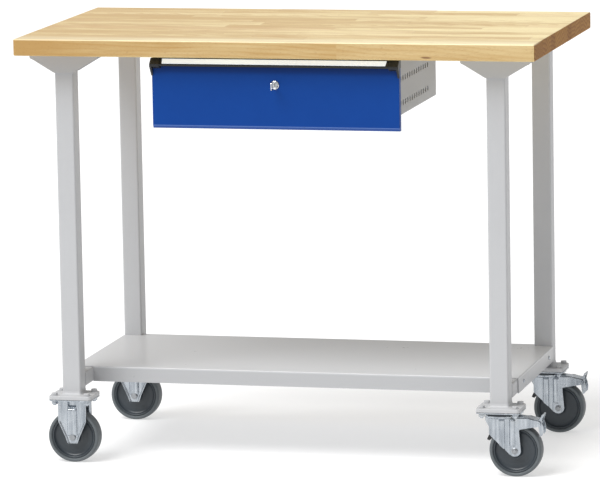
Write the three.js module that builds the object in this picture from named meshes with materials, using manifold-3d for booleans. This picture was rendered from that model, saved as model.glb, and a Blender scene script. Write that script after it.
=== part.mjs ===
// A mobile workbench: a beech worktop on a painted tube frame with one lockable drawer below it,
// a sheet-metal shelf between the legs, two fixed castors on the left and two swivel castors
// with foot brakes on the right. Millimetres, +Z up, X along the bench, the drawer opens to -Y.
// The origin is on the floor, under the middle of the worktop.
import * as THREE from "three";
import { mergeVertices } from "three/addons/utils/BufferGeometryUtils.js";
import Module from "manifold-3d";

const wasm = await Module();
wasm.setup();

// ---- Driving dimensions ------------------------------------------------------------------------
const GAP = 0.3; // clearance between neighbours that touch on the real bench
const TOP = { length: 1250, depth: 700, thick: 40, height: 1025, edge: 2 };
const UNDERSIDE = TOP.height - TOP.thick;
const LEG = { side: 45, wall: 2, corner: 4, endInset: 82, edgeInset: 60 };
const LEG_X = TOP.length / 2 - LEG.endInset - LEG.side / 2;
const LEG_Y = TOP.depth / 2 - LEG.edgeInset - LEG.side / 2;
const HALF_LEG = LEG.side / 2;
const HEAD = { sheet: 3, wing: 60, endHeight: 8, roundTo: 14, round: 4, height: 46 };
const FOOT = { length: 105, width: 85, thick: 10, corner: 9 };
const CASTOR_HEIGHT = 155;
const FOOT_TOP = CASTOR_HEIGHT + FOOT.thick;
const SHELF = { top: 216, sheet: 2, flange: 37, front: -181, back: 269 };
const RAIL = { height: 35, wall: 2, corner: 3 };

const WHEEL = { radius: 62.5, width: 36, hub: 39, facets: 32, tyreInner: 53 };
const FORK = { plate: 3, sheet: 2.5, inner: 20.5, trail: 36, axle: 6 };
const FORK_OUTER = FORK.inner + FORK.sheet;
const RACE = { radius: 38, cup: 36, plateBottom: 147, crownBottom: 138, pin: 6, bore: 6.5 };
const NOSE = { lowRadius: 25, low: 114, high: 143, sheet: 3, reach: -8 };
const PEDAL = { pivotX: 57, pivotZ: 66, width: 34 };
const SHOE = { inner: 64.6, outer: 72, width: 30, from: 20, to: 55 };

const HOUSING = { half: 295, sheet: 1.5, drop: 136, front: -294, back: 92, topFlange: 21, lowFlange: 12.5 };
const TIE = { lipFront: -286, back: -262, lipDrop: 20 };
const SLOT = { count: 13, pitch: 22, first: -287, width: 7, height: 12, upper: 51, lower: 108 };
const FRONT = { half: 297.5, face: -313, depth: 17, sheet: 2, topDrop: 24, bottomDrop: 171, lip: 7 };
const TRAY = { half: 280.9, sheet: 1.2, front: -293.5, back: 78, topDrop: 35, bottomDrop: 130 };
const RUNNER = { drop: 85, front: -291, length: 370, lip: 1.5 };
const HANDLE = { half: 275, topDrop: 6, nose: -329, back: -299, wall: 2.7 };
const CAP = { width: 24, outer: 299, wedge: 5 };
const LOCK = { drop: 65.5, flange: 11, barrel: 9, plug: 7, clear: 0.4, camLength: 50 };
const LOCK_Z = UNDERSIDE - LOCK.drop;

// ---- Finishes ----------------------------------------------------------------------------------
const FINISH = {
  beech: { color: 0xe2c48f, roughness: 0.45, metalness: 0 },
  greyPaint: { color: 0xc9cbcd, roughness: 0.5, metalness: 0 },
  bluePaint: { color: 0x174a98, roughness: 0.45, metalness: 0 },
  zinc: { color: 0xb4bbc0, roughness: 0.35, metalness: 0.9 },
  steel: { color: 0xc4c6c8, roughness: 0.25, metalness: 1 },
  greyTyre: { color: 0x54595c, roughness: 0.7, metalness: 0 },
  wheelCore: { color: 0x3a4045, roughness: 0.55, metalness: 0 },
  blackPlastic: { color: 0x1c1d1e, roughness: 0.5, metalness: 0 },
  card: { color: 0xf6f6f2, roughness: 0.8, metalness: 0 },
};

// ---- Geometry helpers --------------------------------------------------------------------------
// A closed, merged copy of a geometry whose faces all point outwards.
function closed(geometry) {
  const bare = geometry.clone();
  bare.deleteAttribute("normal");
  bare.deleteAttribute("uv");
  const merged = mergeVertices(bare, 1e-4);
  const index = merged.index.array;
  const corner = [new THREE.Vector3(), new THREE.Vector3(), new THREE.Vector3()];
  let volume = 0;
  for (let i = 0; i < index.length; i += 3) {
    corner.forEach((c, k) => c.fromBufferAttribute(merged.attributes.position, index[i + k]));
    volume += corner[0].dot(corner[1].clone().cross(corner[2]));
  }
  if (volume < 0) {
    for (let i = 0; i < index.length; i += 3) {
      [index[i], index[i + 1]] = [index[i + 1], index[i]];
    }
  }
  return merged;
}

function solid(geometry) {
  const merged = closed(geometry);
  const mesh = new wasm.Mesh({
    numProp: 3,
    vertProperties: new Float32Array(merged.attributes.position.array),
    triVerts: new Uint32Array(merged.index.array),
  });
  return new wasm.Manifold(mesh);
}

function geometryOf(manifold) {
  const mesh = manifold.getMesh();
  const geometry = new THREE.BufferGeometry();
  geometry.setAttribute("position", new THREE.BufferAttribute(mesh.vertProperties, 3));
  geometry.setIndex(new THREE.BufferAttribute(mesh.triVerts, 1));
  return geometry;
}

const join = (first, ...others) =>
  geometryOf(others.reduce((sum, next) => sum.add(solid(next)), solid(first)));

const cut = (first, ...tools) =>
  geometryOf(tools.reduce((rest, tool) => rest.subtract(solid(tool)), solid(first)));

const common = (first, second) => geometryOf(solid(first).intersect(solid(second)));

// A box between two corners.
function box(low, high) {
  const size = high.map((value, i) => value - low[i]);
  const middle = high.map((value, i) => (value + low[i]) / 2);
  return new THREE.BoxGeometry(...size).translate(...middle);
}

function outline(points) {
  return new THREE.Shape(points.map(([u, v]) => new THREE.Vector2(u, v)));
}

function roundedRect(width, height, radius) {
  const [w, h] = [width / 2, height / 2];
  const shape = new THREE.Shape();
  shape.moveTo(w, -h + radius);
  shape.absarc(w - radius, h - radius, radius, 0, Math.PI / 2, false);
  shape.absarc(-w + radius, h - radius, radius, Math.PI / 2, Math.PI, false);
  shape.absarc(-w + radius, -h + radius, radius, Math.PI, 1.5 * Math.PI, false);
  shape.absarc(w - radius, -h + radius, radius, 1.5 * Math.PI, 2 * Math.PI, false);
  return shape;
}

// Extrusions of an outline from one value to another along an axis of the bench. The outline is
// drawn as (x, y) for an extrusion along Z, as (y, z) along X and as (x, z) along Y.
function alongZ(shape, from, to, curveSegments = 3) {
  const options = { depth: to - from, bevelEnabled: false, curveSegments };
  return new THREE.ExtrudeGeometry(shape, options).translate(0, 0, from);
}

function alongX(shape, from, to, curveSegments = 3) {
  const turn = new THREE.Matrix4().makeBasis(
    new THREE.Vector3(0, 1, 0),
    new THREE.Vector3(0, 0, 1),
    new THREE.Vector3(1, 0, 0),
  );
  return alongZ(shape, from, to, curveSegments).applyMatrix4(turn);
}

function alongY(shape, from, to, curveSegments = 3) {
  const turn = new THREE.Matrix4().makeBasis(
    new THREE.Vector3(1, 0, 0),
    new THREE.Vector3(0, 0, 1),
    new THREE.Vector3(0, -1, 0),
  );
  return alongZ(shape, -to, -from, curveSegments).applyMatrix4(turn);
}

// A turned body on the Y axis from a closed profile of [radius, y] pairs. The half-step start
// puts the middle of a facet, not an edge, at the very bottom.
function turned(profile, facets) {
  const points = [...profile, profile[0]].map(([r, y]) => new THREE.Vector2(r, y));
  return new THREE.LatheGeometry(points, facets, Math.PI / facets, 2 * Math.PI);
}

// The same on the Z axis.
const turnedZ = (profile, facets) => turned(profile, facets).rotateX(Math.PI / 2);

function rod(radius, from, to, facets = 16) {
  return turned([[0, from], [radius, from], [radius, to], [0, to]], facets);
}

const rodZ = (radius, from, to) => turnedZ([[0, from], [radius, from], [radius, to], [0, to]], 24);

const bench = new THREE.Group();

function add(parent, name, geometry, finish, position = [0, 0, 0]) {
  const mesh = new THREE.Mesh(closed(geometry), new THREE.MeshStandardMaterial(FINISH[finish]));
  mesh.name = name;
  mesh.position.set(...position);
  parent.add(mesh);
  return mesh;
}

// ---- Worktop -----------------------------------------------------------------------------------
function addWorktop() {
  const geometry = new THREE.ExtrudeGeometry(roundedRect(TOP.length, TOP.depth, 3), {
    depth: TOP.thick - 2 * TOP.edge,
    bevelThickness: TOP.edge,
    bevelSize: TOP.edge,
    bevelOffset: -TOP.edge,
    bevelSegments: 1,
    curveSegments: 2,
  });
  add(bench, "worktop", geometry, "beech", [0, 0, UNDERSIDE + TOP.edge]);
}

// ---- Legs with their head brackets and foot plates ---------------------------------------------
function legTube() {
  const shape = roundedRect(LEG.side, LEG.side, LEG.corner);
  const inside = LEG.side - 2 * LEG.wall;
  shape.holes.push(roundedRect(inside, inside, LEG.corner - LEG.wall));
  return alongZ(shape, FOOT_TOP, UNDERSIDE - HEAD.sheet);
}

// A folded head: a flat web that is screwed to the worktop, and a flange down over the front and
// the back of the leg, with a wing on each side of it.
function headBracket() {
  const reach = HALF_LEG + HEAD.wing;
  const [near, far] = [HALF_LEG + GAP, HALF_LEG + GAP + HEAD.sheet];
  const half = [
    [reach, UNDERSIDE - HEAD.sheet / 2],
    [reach, UNDERSIDE - HEAD.endHeight],
    [reach - HEAD.round, UNDERSIDE - HEAD.roundTo],
    [HALF_LEG, UNDERSIDE - HEAD.height],
  ];
  const flange = outline([...half, ...half.map(([x, z]) => [-x, z]).reverse()]);
  return join(
    box([-reach, -far, UNDERSIDE - HEAD.sheet], [reach, far, UNDERSIDE]),
    alongY(flange, -far, -near),
    alongY(flange, near, far),
  );
}

function footPlate() {
  return alongZ(roundedRect(FOOT.length, FOOT.width, FOOT.corner), CASTOR_HEIGHT, FOOT_TOP, 4);
}

const CORNERS = [
  { name: "front_left", x: -LEG_X, y: -LEG_Y },
  { name: "front_right", x: LEG_X, y: -LEG_Y },
  { name: "back_left", x: -LEG_X, y: LEG_Y },
  { name: "back_right", x: LEG_X, y: LEG_Y },
];

function addLegs() {
  for (const corner of CORNERS) {
    const group = new THREE.Group();
    group.position.set(corner.x, corner.y, 0);
    bench.add(group);
    add(group, `leg_${corner.name}`, legTube(), "greyPaint");
    add(group, `head_bracket_${corner.name}`, headBracket(), "greyPaint");
    add(group, `foot_plate_${corner.name}`, footPlate(), "greyPaint");
  }
}

// ---- Shelf and the rails that carry it ---------------------------------------------------------
function addShelf() {
  const underside = SHELF.top - SHELF.sheet;
  const low = SHELF.top - SHELF.flange;
  const between = LEG_X - HALF_LEG - GAP;
  const outer = LEG_X + HALF_LEG + GAP + SHELF.sheet;
  const stop = LEG_Y - HALF_LEG - GAP;
  const geometry = join(
    box([-outer, SHELF.front, underside], [outer, stop, SHELF.top]),
    box([-between, stop - 1, underside], [between, SHELF.back, SHELF.top]),
    box([-between, SHELF.front, low], [between, SHELF.front + SHELF.sheet, SHELF.top]),
    box([-between, SHELF.back - SHELF.sheet, low], [between, SHELF.back, SHELF.top]),
    box([-outer, SHELF.front, low], [-outer + SHELF.sheet, stop, SHELF.top]),
    box([outer - SHELF.sheet, SHELF.front, low], [outer, stop, SHELF.top]),
  );
  add(bench, "shelf", geometry, "greyPaint");

  const middle = underside - RAIL.height / 2;
  for (const [name, x] of [["side_rail_left", -LEG_X], ["side_rail_right", LEG_X]]) {
    const shape = roundedRect(LEG.side, RAIL.height - GAP, RAIL.corner);
    const inside = [LEG.side - 2 * RAIL.wall, RAIL.height - GAP - 2 * RAIL.wall];
    shape.holes.push(roundedRect(...inside, RAIL.corner - RAIL.wall));
    add(bench, name, alongY(shape, -stop, stop), "greyPaint", [x, 0, middle - GAP / 2]);
  }
}

// ---- Castors -----------------------------------------------------------------------------------
// Wheel pieces lie on the Y axis with the axle at their origin.
function wheelCore() {
  const [hub, rim] = [WHEEL.hub / 2, 14];
  return turned([
    [FORK.axle + 0.3, -hub], [13, -hub], [14.5, -8], [44, -6], [47, -rim],
    [WHEEL.tyreInner - 0.4, -rim], [WHEEL.tyreInner - 0.4, rim],
    [47, rim], [44, 6], [14.5, 8], [13, hub], [FORK.axle + 0.3, hub],
  ], WHEEL.facets);
}

function tyre() {
  const half = WHEEL.width / 2;
  const tread = WHEEL.radius / Math.cos(Math.PI / WHEEL.facets);
  return turned([
    [WHEEL.tyreInner, -half + 3], [56, -half], [60, -half], [tread, -half + 3],
    [tread, half - 3], [60, half], [56, half], [WHEEL.tyreInner, half - 3],
  ], WHEEL.facets);
}

function axleBolt() {
  const [inner, outer] = [FORK_OUTER + GAP, FORK_OUTER + 5.5];
  return turned([
    [0, -outer], [9, -outer], [9, -inner], [FORK.axle, -inner],
    [FORK.axle, inner], [9, inner], [9, outer], [0, outer],
  ], 16);
}

// Both cheeks of a fork from one outline, which is drawn about the axle.
function cheeks(shape) {
  return [
    alongY(shape, -FORK_OUTER, -FORK.inner, 4).translate(0, 0, WHEEL.radius),
    alongY(shape, FORK.inner, FORK_OUTER, 4).translate(0, 0, WHEEL.radius),
  ];
}

const axleBore = () => rod(FORK.axle + 0.3, -40, 40).translate(0, 0, WHEEL.radius);

function fixedFork() {
  const top = CASTOR_HEIGHT - FORK.plate / 2 - WHEEL.radius;
  const shape = new THREE.Shape();
  shape.moveTo(-34.5, top);
  shape.lineTo(-34.5, 37.5);
  shape.lineTo(-14, -10);
  shape.absarc(0, -2, 15, 1.2 * Math.PI, 1.8 * Math.PI, false);
  shape.lineTo(34.5, 37.5);
  shape.lineTo(34.5, top);
  const plateShape = roundedRect(FOOT.length, FOOT.width, FOOT.corner);
  const plate = alongZ(plateShape, CASTOR_HEIGHT - FORK.plate, CASTOR_HEIGHT, 4);
  return cut(join(plate, ...cheeks(shape)), axleBore());
}

function swivelPlate() {
  const plateShape = roundedRect(FOOT.length, FOOT.width, FOOT.corner);
  const plate = alongZ(plateShape, CASTOR_HEIGHT - FORK.plate, CASTOR_HEIGHT, 4);
  const bottom = RACE.plateBottom;
  const inPlate = CASTOR_HEIGHT - FORK.plate + 1;
  const race = rodZ(RACE.cup, bottom, inPlate);
  const hole = rodZ(RACE.bore, bottom - 5, CASTOR_HEIGHT + 5);
  return cut(join(plate, race), hole);
}

// The swivel fork is drawn about the swivel axis; its axle trails behind that axis.
function swivelFork() {
  const shape = new THREE.Shape();
  shape.moveTo(-61, 80);
  shape.lineTo(-61, 38);
  shape.lineTo(-12, -9);
  shape.absarc(0, 2, 15, 1.24 * Math.PI, 1.95 * Math.PI, false);
  shape.lineTo(10, 51);
  shape.lineTo(62, 60);
  shape.lineTo(62, 71);
  shape.lineTo(14, 80);
  const [high, low] = [RACE.plateBottom - GAP, RACE.crownBottom];
  const crown = rodZ(RACE.radius, low, high);
  const pin = rodZ(RACE.pin, low, CASTOR_HEIGHT - FORK.plate / 2);
  const skirt = turnedZ([
    [NOSE.lowRadius - NOSE.sheet, NOSE.low], [NOSE.lowRadius, NOSE.low],
    [RACE.radius, NOSE.high], [RACE.radius - NOSE.sheet - 1, NOSE.high],
  ], 24);
  const front = box([-RACE.radius - 5, -FORK_OUTER, NOSE.low - 5], [NOSE.reach, FORK_OUTER, NOSE.high + 5]);
  const nose = common(skirt, front);
  const sides = cheeks(shape).map((cheek) => cheek.translate(FORK.trail, 0, 0));
  return cut(join(crown, pin, nose, ...sides), axleBore().translate(FORK.trail, 0, 0));
}

// A rocker across the end of the fork's arms: the upper lip locks, the lower lip releases.
function brakePedal() {
  const rocker = outline([
    [-5, -4], [-5, 5], [1, 6], [8, 22], [11, 21], [5, 2], [7, -12],
    [9, -29], [5, -31], [2, -14], [0, -5],
  ]);
  return alongY(rocker, -PEDAL.width / 2, PEDAL.width / 2);
}

// A curved pad over the front of the tread, drawn about the axle.
function brakeShoe() {
  const onFront = (degrees) => Math.PI - THREE.MathUtils.degToRad(degrees);
  const [from, to] = [onFront(SHOE.from), onFront(SHOE.to)];
  const shape = new THREE.Shape();
  shape.absarc(0, 0, SHOE.outer, from, to, true);
  shape.absarc(0, 0, SHOE.inner, to, from, false);
  return alongY(shape, -SHOE.width / 2, SHOE.width / 2, 6);
}

function addCastor(corner) {
  const group = new THREE.Group();
  group.position.set(corner.x, corner.y, 0);
  bench.add(group);
  const swivels = corner.name.endsWith("right");
  const axle = [swivels ? FORK.trail : 0, 0, WHEEL.radius];
  if (swivels) {
    const pivot = [FORK.trail + PEDAL.pivotX, 0, WHEEL.radius + PEDAL.pivotZ];
    add(group, `swivel_plate_${corner.name}`, swivelPlate(), "zinc");
    add(group, `swivel_fork_${corner.name}`, swivelFork(), "zinc");
    add(group, `brake_pedal_${corner.name}`, brakePedal(), "zinc", pivot);
    add(group, `brake_shoe_${corner.name}`, brakeShoe(), "blackPlastic", axle);
  } else {
    add(group, `fixed_fork_${corner.name}`, fixedFork(), "zinc");
  }
  add(group, `wheel_core_${corner.name}`, wheelCore(), "wheelCore", axle);
  add(group, `tyre_${corner.name}`, tyre(), "greyTyre", axle);
  add(group, `axle_${corner.name}`, axleBolt(), "steel", axle);
}

// ---- Drawer housing ----------------------------------------------------------------------------
const HOUSING_LOW = UNDERSIDE - HOUSING.drop;

// A slotted side panel, folded inwards along its top and bottom edges.
function housingSide(side) {
  const { half, sheet, front, back, topFlange, lowFlange } = HOUSING;
  const profile = outline([
    [half, HOUSING_LOW], [half, UNDERSIDE], [half - topFlange, UNDERSIDE],
    [half - topFlange, UNDERSIDE - sheet], [half - sheet, UNDERSIDE - sheet],
    [half - sheet, HOUSING_LOW + sheet], [half - lowFlange, HOUSING_LOW + sheet],
    [half - lowFlange, HOUSING_LOW],
  ]);
  const slots = [];
  for (const drop of [SLOT.upper, SLOT.lower]) {
    for (let i = 0; i < SLOT.count; i += 1) {
      const y = SLOT.first + i * SLOT.pitch;
      const z = UNDERSIDE - drop;
      const reach = [SLOT.width / 2, SLOT.height / 2];
      slots.push(box([half - 5, y - reach[0], z - reach[1]], [half + 5, y + reach[0], z + reach[1]]));
    }
  }
  const panel = cut(alongY(profile, front, back), ...slots);
  return side > 0 ? panel : panel.scale(-1, 1, 1);
}

function addHousing() {
  add(bench, "housing_side_left", housingSide(-1), "greyPaint");
  add(bench, "housing_side_right", housingSide(1), "greyPaint");

  const reach = HOUSING.half - HOUSING.sheet - GAP;
  const top = UNDERSIDE - HOUSING.sheet - GAP;
  const low = HOUSING_LOW + HOUSING.sheet + GAP;
  const sheet = HOUSING.sheet;
  const back = outline([
    [HOUSING.back, low], [HOUSING.back, top], [HOUSING.back - 20, top],
    [HOUSING.back - 20, top - sheet], [HOUSING.back - sheet, top - sheet], [HOUSING.back - sheet, low],
  ]);
  add(bench, "housing_back", alongX(back, -reach, reach), "greyPaint");

  // The front tie bar has a lip that the lock's cam turns up behind.
  const tie = outline([
    [HOUSING.front, top], [HOUSING.front, top - sheet], [TIE.lipFront, top - sheet],
    [TIE.lipFront, top - TIE.lipDrop], [TIE.lipFront + sheet, top - TIE.lipDrop],
    [TIE.lipFront + sheet, top - sheet], [TIE.back, top - sheet], [TIE.back, top],
  ]);
  add(bench, "housing_front_tie", alongX(tie, -reach, reach), "greyPaint");
}

// ---- Telescopic runners ------------------------------------------------------------------------
// A channel section along Y with its web at one x and its two lips reaching to another.
function channel(web, lip, halfHeight) {
  const thick = RUNNER.lip * Math.sign(lip - web);
  const z = UNDERSIDE - RUNNER.drop;
  const h = halfHeight;
  const profile = outline([
    [web, z - h], [lip, z - h], [lip, z - h + RUNNER.lip], [web + thick, z - h + RUNNER.lip],
    [web + thick, z + h - RUNNER.lip], [lip, z + h - RUNNER.lip], [lip, z + h], [web, z + h],
  ]);
  return alongY(profile, RUNNER.front, RUNNER.front + RUNNER.length);
}

function addRunners() {
  const inside = HOUSING.half - HOUSING.sheet - GAP;
  const members = [
    ["outer", inside, inside - 6.7, 22],
    ["middle", inside - 2.2, inside - 8.7, 19],
    ["inner", TRAY.half + GAP, TRAY.half + GAP + 7, 15],
  ];
  for (const [member, web, lip, halfHeight] of members) {
    add(bench, `runner_${member}_left`, channel(-web, -lip, halfHeight), "zinc");
    add(bench, `runner_${member}_right`, channel(web, lip, halfHeight), "zinc");
  }
}

// ---- Drawer ------------------------------------------------------------------------------------
const FRONT_TOP = UNDERSIDE - FRONT.topDrop;
const FRONT_LOW = UNDERSIDE - FRONT.bottomDrop;
const HANDLE_TOP = UNDERSIDE - HANDLE.topDrop;
const lockHole = () => rod(LOCK.barrel + LOCK.clear, -340, -270).translate(0, 0, LOCK_Z);

// The front is a pan of sheet steel with its open side to the back and a slanted bottom lip.
function drawerFront() {
  const { half, face, depth, sheet, lip } = FRONT;
  const back = face + depth;
  const skin = alongX(outline([
    [face, FRONT_TOP], [face, FRONT_LOW + lip], [face + lip / 2, FRONT_LOW],
    [back, FRONT_LOW], [back, FRONT_TOP],
  ]), -half, half);
  const inside = alongX(outline([
    [face + sheet, FRONT_TOP - sheet], [face + sheet, FRONT_LOW + lip],
    [face + sheet + lip / 2, FRONT_LOW + sheet], [back + 5, FRONT_LOW + sheet],
    [back + 5, FRONT_TOP - sheet],
  ]), -half + sheet, half - sheet);
  return cut(skin, inside, lockHole());
}

function drawerTray() {
  const { half, sheet, front, back, topDrop, bottomDrop } = TRAY;
  const [top, low] = [UNDERSIDE - topDrop, UNDERSIDE - bottomDrop];
  const outside = box([-half, front, low], [half, back, top]);
  const inside = box([-half + sheet, front + sheet, low + sheet], [half - sheet, back - sheet, top + 5]);
  return cut(outside, inside, lockHole());
}

// The grip is a hooked strip: a back leg on the drawer front, a flat top, and a slanted nose.
function handleStrip() {
  const { nose, back, wall } = HANDLE;
  const top = HANDLE_TOP;
  return alongX(outline([
    [back, FRONT_TOP + GAP], [back, top], [nose + 12, top], [nose, top - 12], [nose, top - 16.5],
    [nose + wall, top - 16.5], [nose + wall, top - 12.6], [nose + 13, top - wall],
    [back - wall, top - wall], [back - wall, FRONT_TOP + GAP],
  ]), -HANDLE.half, HANDLE.half);
}

// A card strip on the slanted face of the grip.
function labelStrip() {
  const [near, far, lift] = [1.2, 11.4, 0.35];
  const [y, z] = [HANDLE.nose, HANDLE_TOP - 12];
  return alongX(outline([
    [y + near - lift, z + near + lift], [y + far - lift, z + far + lift],
    [y + far - lift - 0.7, z + far + lift + 0.7], [y + near - lift - 0.7, z + near + lift + 0.7],
  ]), -HANDLE.half + 5, HANDLE.half - 5);
}

// A plastic end block closes the grip and runs down the edge of the drawer front as a wedge.
function endCap(side) {
  const [y, z] = [HANDLE.nose - 1.3, HANDLE_TOP];
  const block = alongX(outline([
    [HANDLE.back + 1, FRONT_TOP + GAP], [HANDLE.back + 1, z + 1.2], [y + 12.7, z + 1.2],
    [y, z - 11.5], [y, z - 17.5], [FRONT.face - GAP, z - 24 + GAP],
    [FRONT.face - GAP, FRONT_TOP + GAP],
  ]), CAP.outer - CAP.width + GAP, CAP.outer);
  const wedge = alongX(outline([
    [y, z - 12], [y, z - 17.5], [FRONT.face - GAP, z - 41], [FRONT.face - GAP, z - 12],
  ]), CAP.outer - CAP.wedge, CAP.outer);
  const cap = join(block, wedge);
  return side > 0 ? cap : cap.scale(-1, 1, 1);
}

function addDrawer() {
  add(bench, "drawer_front", drawerFront(), "bluePaint");
  add(bench, "drawer_tray", drawerTray(), "greyPaint");
  add(bench, "handle_strip", handleStrip(), "blackPlastic");
  add(bench, "label_strip", labelStrip(), "card");
  add(bench, "handle_cap_left", endCap(-1), "blackPlastic");
  add(bench, "handle_cap_right", endCap(1), "blackPlastic");
}

// ---- Lock, turned about the Y axis through the middle of its face -------------------------------
function addLock() {
  const group = new THREE.Group();
  group.position.set(0, 0, LOCK_Z);
  bench.add(group);
  const face = FRONT.face - GAP;
  const bore = LOCK.plug + GAP;
  const body = turned([
    [bore, face - 3], [LOCK.flange, face - 3], [LOCK.flange, face],
    [LOCK.barrel, face], [LOCK.barrel, -284], [bore, -284],
  ], 24);
  add(group, "lock_body", body, "steel");

  const keyway = box([-1.5, face - 10, -4.2], [1.5, -300, 4.2]);
  add(group, "lock_cylinder", cut(rod(LOCK.plug, face - 2.4, -282.3, 24), keyway), "steel");

  const bow = alongX(roundedRect(17, 20, 5), -1.1, 1.1, 4).translate(0, -340.5, 0);
  const blade = box([-1.1, -335, -3.6], [1.1, -300.5, 3.6]);
  add(group, "key", join(bow, blade), "steel");

  const cam = new THREE.Shape();
  cam.absarc(0, 0, LOCK.plug + 1, Math.PI / 2, 1.5 * Math.PI, false);
  cam.lineTo(LOCK.camLength, -6);
  cam.lineTo(LOCK.camLength, 6);
  add(group, "lock_cam", alongY(cam, -282, -279.5, 4), "zinc");
}

addWorktop();
addLegs();
addShelf();
CORNERS.forEach(addCastor);
addHousing();
addRunners();
addDrawer();
addLock();

export default bench;
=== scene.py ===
import math
import random
from functools import partialmethod

import bmesh
import bpy
from mathutils import Matrix, Vector


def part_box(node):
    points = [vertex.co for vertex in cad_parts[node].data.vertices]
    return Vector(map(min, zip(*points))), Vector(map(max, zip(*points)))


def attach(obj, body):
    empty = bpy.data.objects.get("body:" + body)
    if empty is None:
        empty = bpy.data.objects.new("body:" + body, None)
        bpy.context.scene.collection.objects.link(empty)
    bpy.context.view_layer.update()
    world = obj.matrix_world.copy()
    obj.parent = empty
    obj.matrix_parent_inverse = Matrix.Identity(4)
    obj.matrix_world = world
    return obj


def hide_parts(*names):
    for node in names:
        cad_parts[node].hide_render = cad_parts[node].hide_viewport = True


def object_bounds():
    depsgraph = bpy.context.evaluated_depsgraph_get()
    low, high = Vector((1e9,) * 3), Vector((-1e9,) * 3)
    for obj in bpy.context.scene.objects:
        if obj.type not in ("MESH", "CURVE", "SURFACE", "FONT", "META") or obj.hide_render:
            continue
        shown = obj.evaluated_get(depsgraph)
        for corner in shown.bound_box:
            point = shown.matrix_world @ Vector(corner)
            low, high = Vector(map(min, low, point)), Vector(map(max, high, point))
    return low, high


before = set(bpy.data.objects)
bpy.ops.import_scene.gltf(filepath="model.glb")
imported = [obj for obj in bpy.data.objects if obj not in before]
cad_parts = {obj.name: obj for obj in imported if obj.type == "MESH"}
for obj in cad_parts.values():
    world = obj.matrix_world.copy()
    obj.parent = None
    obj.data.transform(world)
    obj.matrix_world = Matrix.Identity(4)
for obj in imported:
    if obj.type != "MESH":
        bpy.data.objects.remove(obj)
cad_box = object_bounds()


# ---- Worktop ----
# Beech staves 50 mm wide, glued side by side and end to end, planed flat and oiled. The long
# edges show one stave each, the ends show end grain. All edges are eased with a small round.
MM = 0.001


class Wire:
    """An output in a material's node tree. Arithmetic on it adds Math nodes to the tree."""

    def __init__(self, tree, socket=None):
        self.tree, self.socket = tree, socket

    def node(self, kind, settings=None, values=None, out=0):
        """Adds a node: settings first, then the values or links of its sockets."""
        made = self.tree.nodes.new("ShaderNode" + kind)
        for name, value in (settings or {}).items():
            setattr(made, name, value)
        for name, value in (values or {}).items():
            if isinstance(value, Wire):
                self.tree.links.new(value.socket, made.inputs[name])
            else:
                made.inputs[name].default_value = value
        return Wire(self.tree, None if out is None else made.outputs[out])

    def maths(self, operation, *others):
        values = {0: self, **{i + 1: other for i, other in enumerate(others)}}
        return self.node("Math", {"operation": operation}, values)

    __add__ = __radd__ = partialmethod(maths, "ADD")
    __mul__ = __rmul__ = partialmethod(maths, "MULTIPLY")
    __sub__ = partialmethod(maths, "SUBTRACT")
    __truediv__ = partialmethod(maths, "DIVIDE")
    __pow__ = partialmethod(maths, "POWER")
    floor = partialmethod(maths, "FLOOR")
    fract = partialmethod(maths, "FRACT")

    def __rsub__(self, other):
        return self.node("Math", {"operation": "SUBTRACT"}, {0: other, 1: self})

    def between(self, low, high):
        """0 below low, 1 above high, smooth in between; the other way round if low is above high."""
        values = {"Value": self, "From Min": low, "From Max": high, "To Min": 0.0, "To Max": 1.0}
        if low > high:
            values.update({"From Min": high, "From Max": low, "To Min": 1.0, "To Max": 0.0})
        return self.node("MapRange", {"interpolation_type": "SMOOTHSTEP"}, values)

    def parts(self):
        made = self.node("SeparateXYZ", values={0: self})
        return [Wire(self.tree, made.socket.node.outputs[i]) for i in range(3)]

    def joined(self, x, y, z):
        return self.node("CombineXYZ", values={0: x, 1: y, 2: z})

    def vector(self, operation, other):
        return self.node("VectorMath", {"operation": operation}, {0: self, 1: other})

    def mixed(self, factor, first, second):
        """Two colours mixed; each is a wire or an (r, g, b, a) colour."""
        settings = {"data_type": "RGBA", "clamp_factor": True}
        return self.node("Mix", settings, {0: factor, 6: first, 7: second}, out=2)

    def cloud(self, place, scale, detail=2.0, rough=0.5, stretch=(1, 1, 1)):
        """Noise on a stretched place, from 0 to 1."""
        values = {"Vector": place.vector("MULTIPLY", stretch), "Scale": scale}
        return self.node("TexNoise", values={**values, "Detail": detail, "Roughness": rough})

    def bump(self, height, distance, strength):
        return self.node("Bump", values={"Height": height, "Distance": distance, "Strength": strength})


def tint(text):
    """A linear colour from the six hex digits of its display colour."""
    display = [int(text[i:i + 2], 16) / 255 for i in (0, 2, 4)]
    linear = [v / 12.92 if v <= 0.04045 else ((v + 0.055) / 1.055) ** 2.4 for v in display]
    return (*linear, 1.0)


def finish_of(name, surface, **constants):
    """A material. surface(wire, place) gives the shader inputs that vary; constants sit on its sockets."""
    material = bpy.data.materials.new(name)
    material.use_nodes = True
    tree = material.node_tree
    tree.nodes.clear()
    output = tree.nodes.new("ShaderNodeOutputMaterial")
    shader = tree.nodes.new("ShaderNodeBsdfPrincipled")
    tree.links.new(shader.outputs[0], output.inputs[0])
    for socket, value in constants.items():
        shader.inputs[socket.replace("_", " ")].default_value = value
    wire = Wire(tree)
    place = wire.node("TexCoord", out="Object")
    for socket, value in surface(wire, place).items():
        tree.links.new(value.socket, shader.inputs[socket])
    return material


def meshed(name, work):
    """A mesh from a bmesh, which is used up."""
    mesh = bpy.data.meshes.new(name)
    work.to_mesh(mesh)
    work.free()
    return mesh


def shown(name, data):
    """A new object in the scene."""
    made = bpy.data.objects.new(name, data)
    bpy.context.collection.objects.link(made)
    return made


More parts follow.
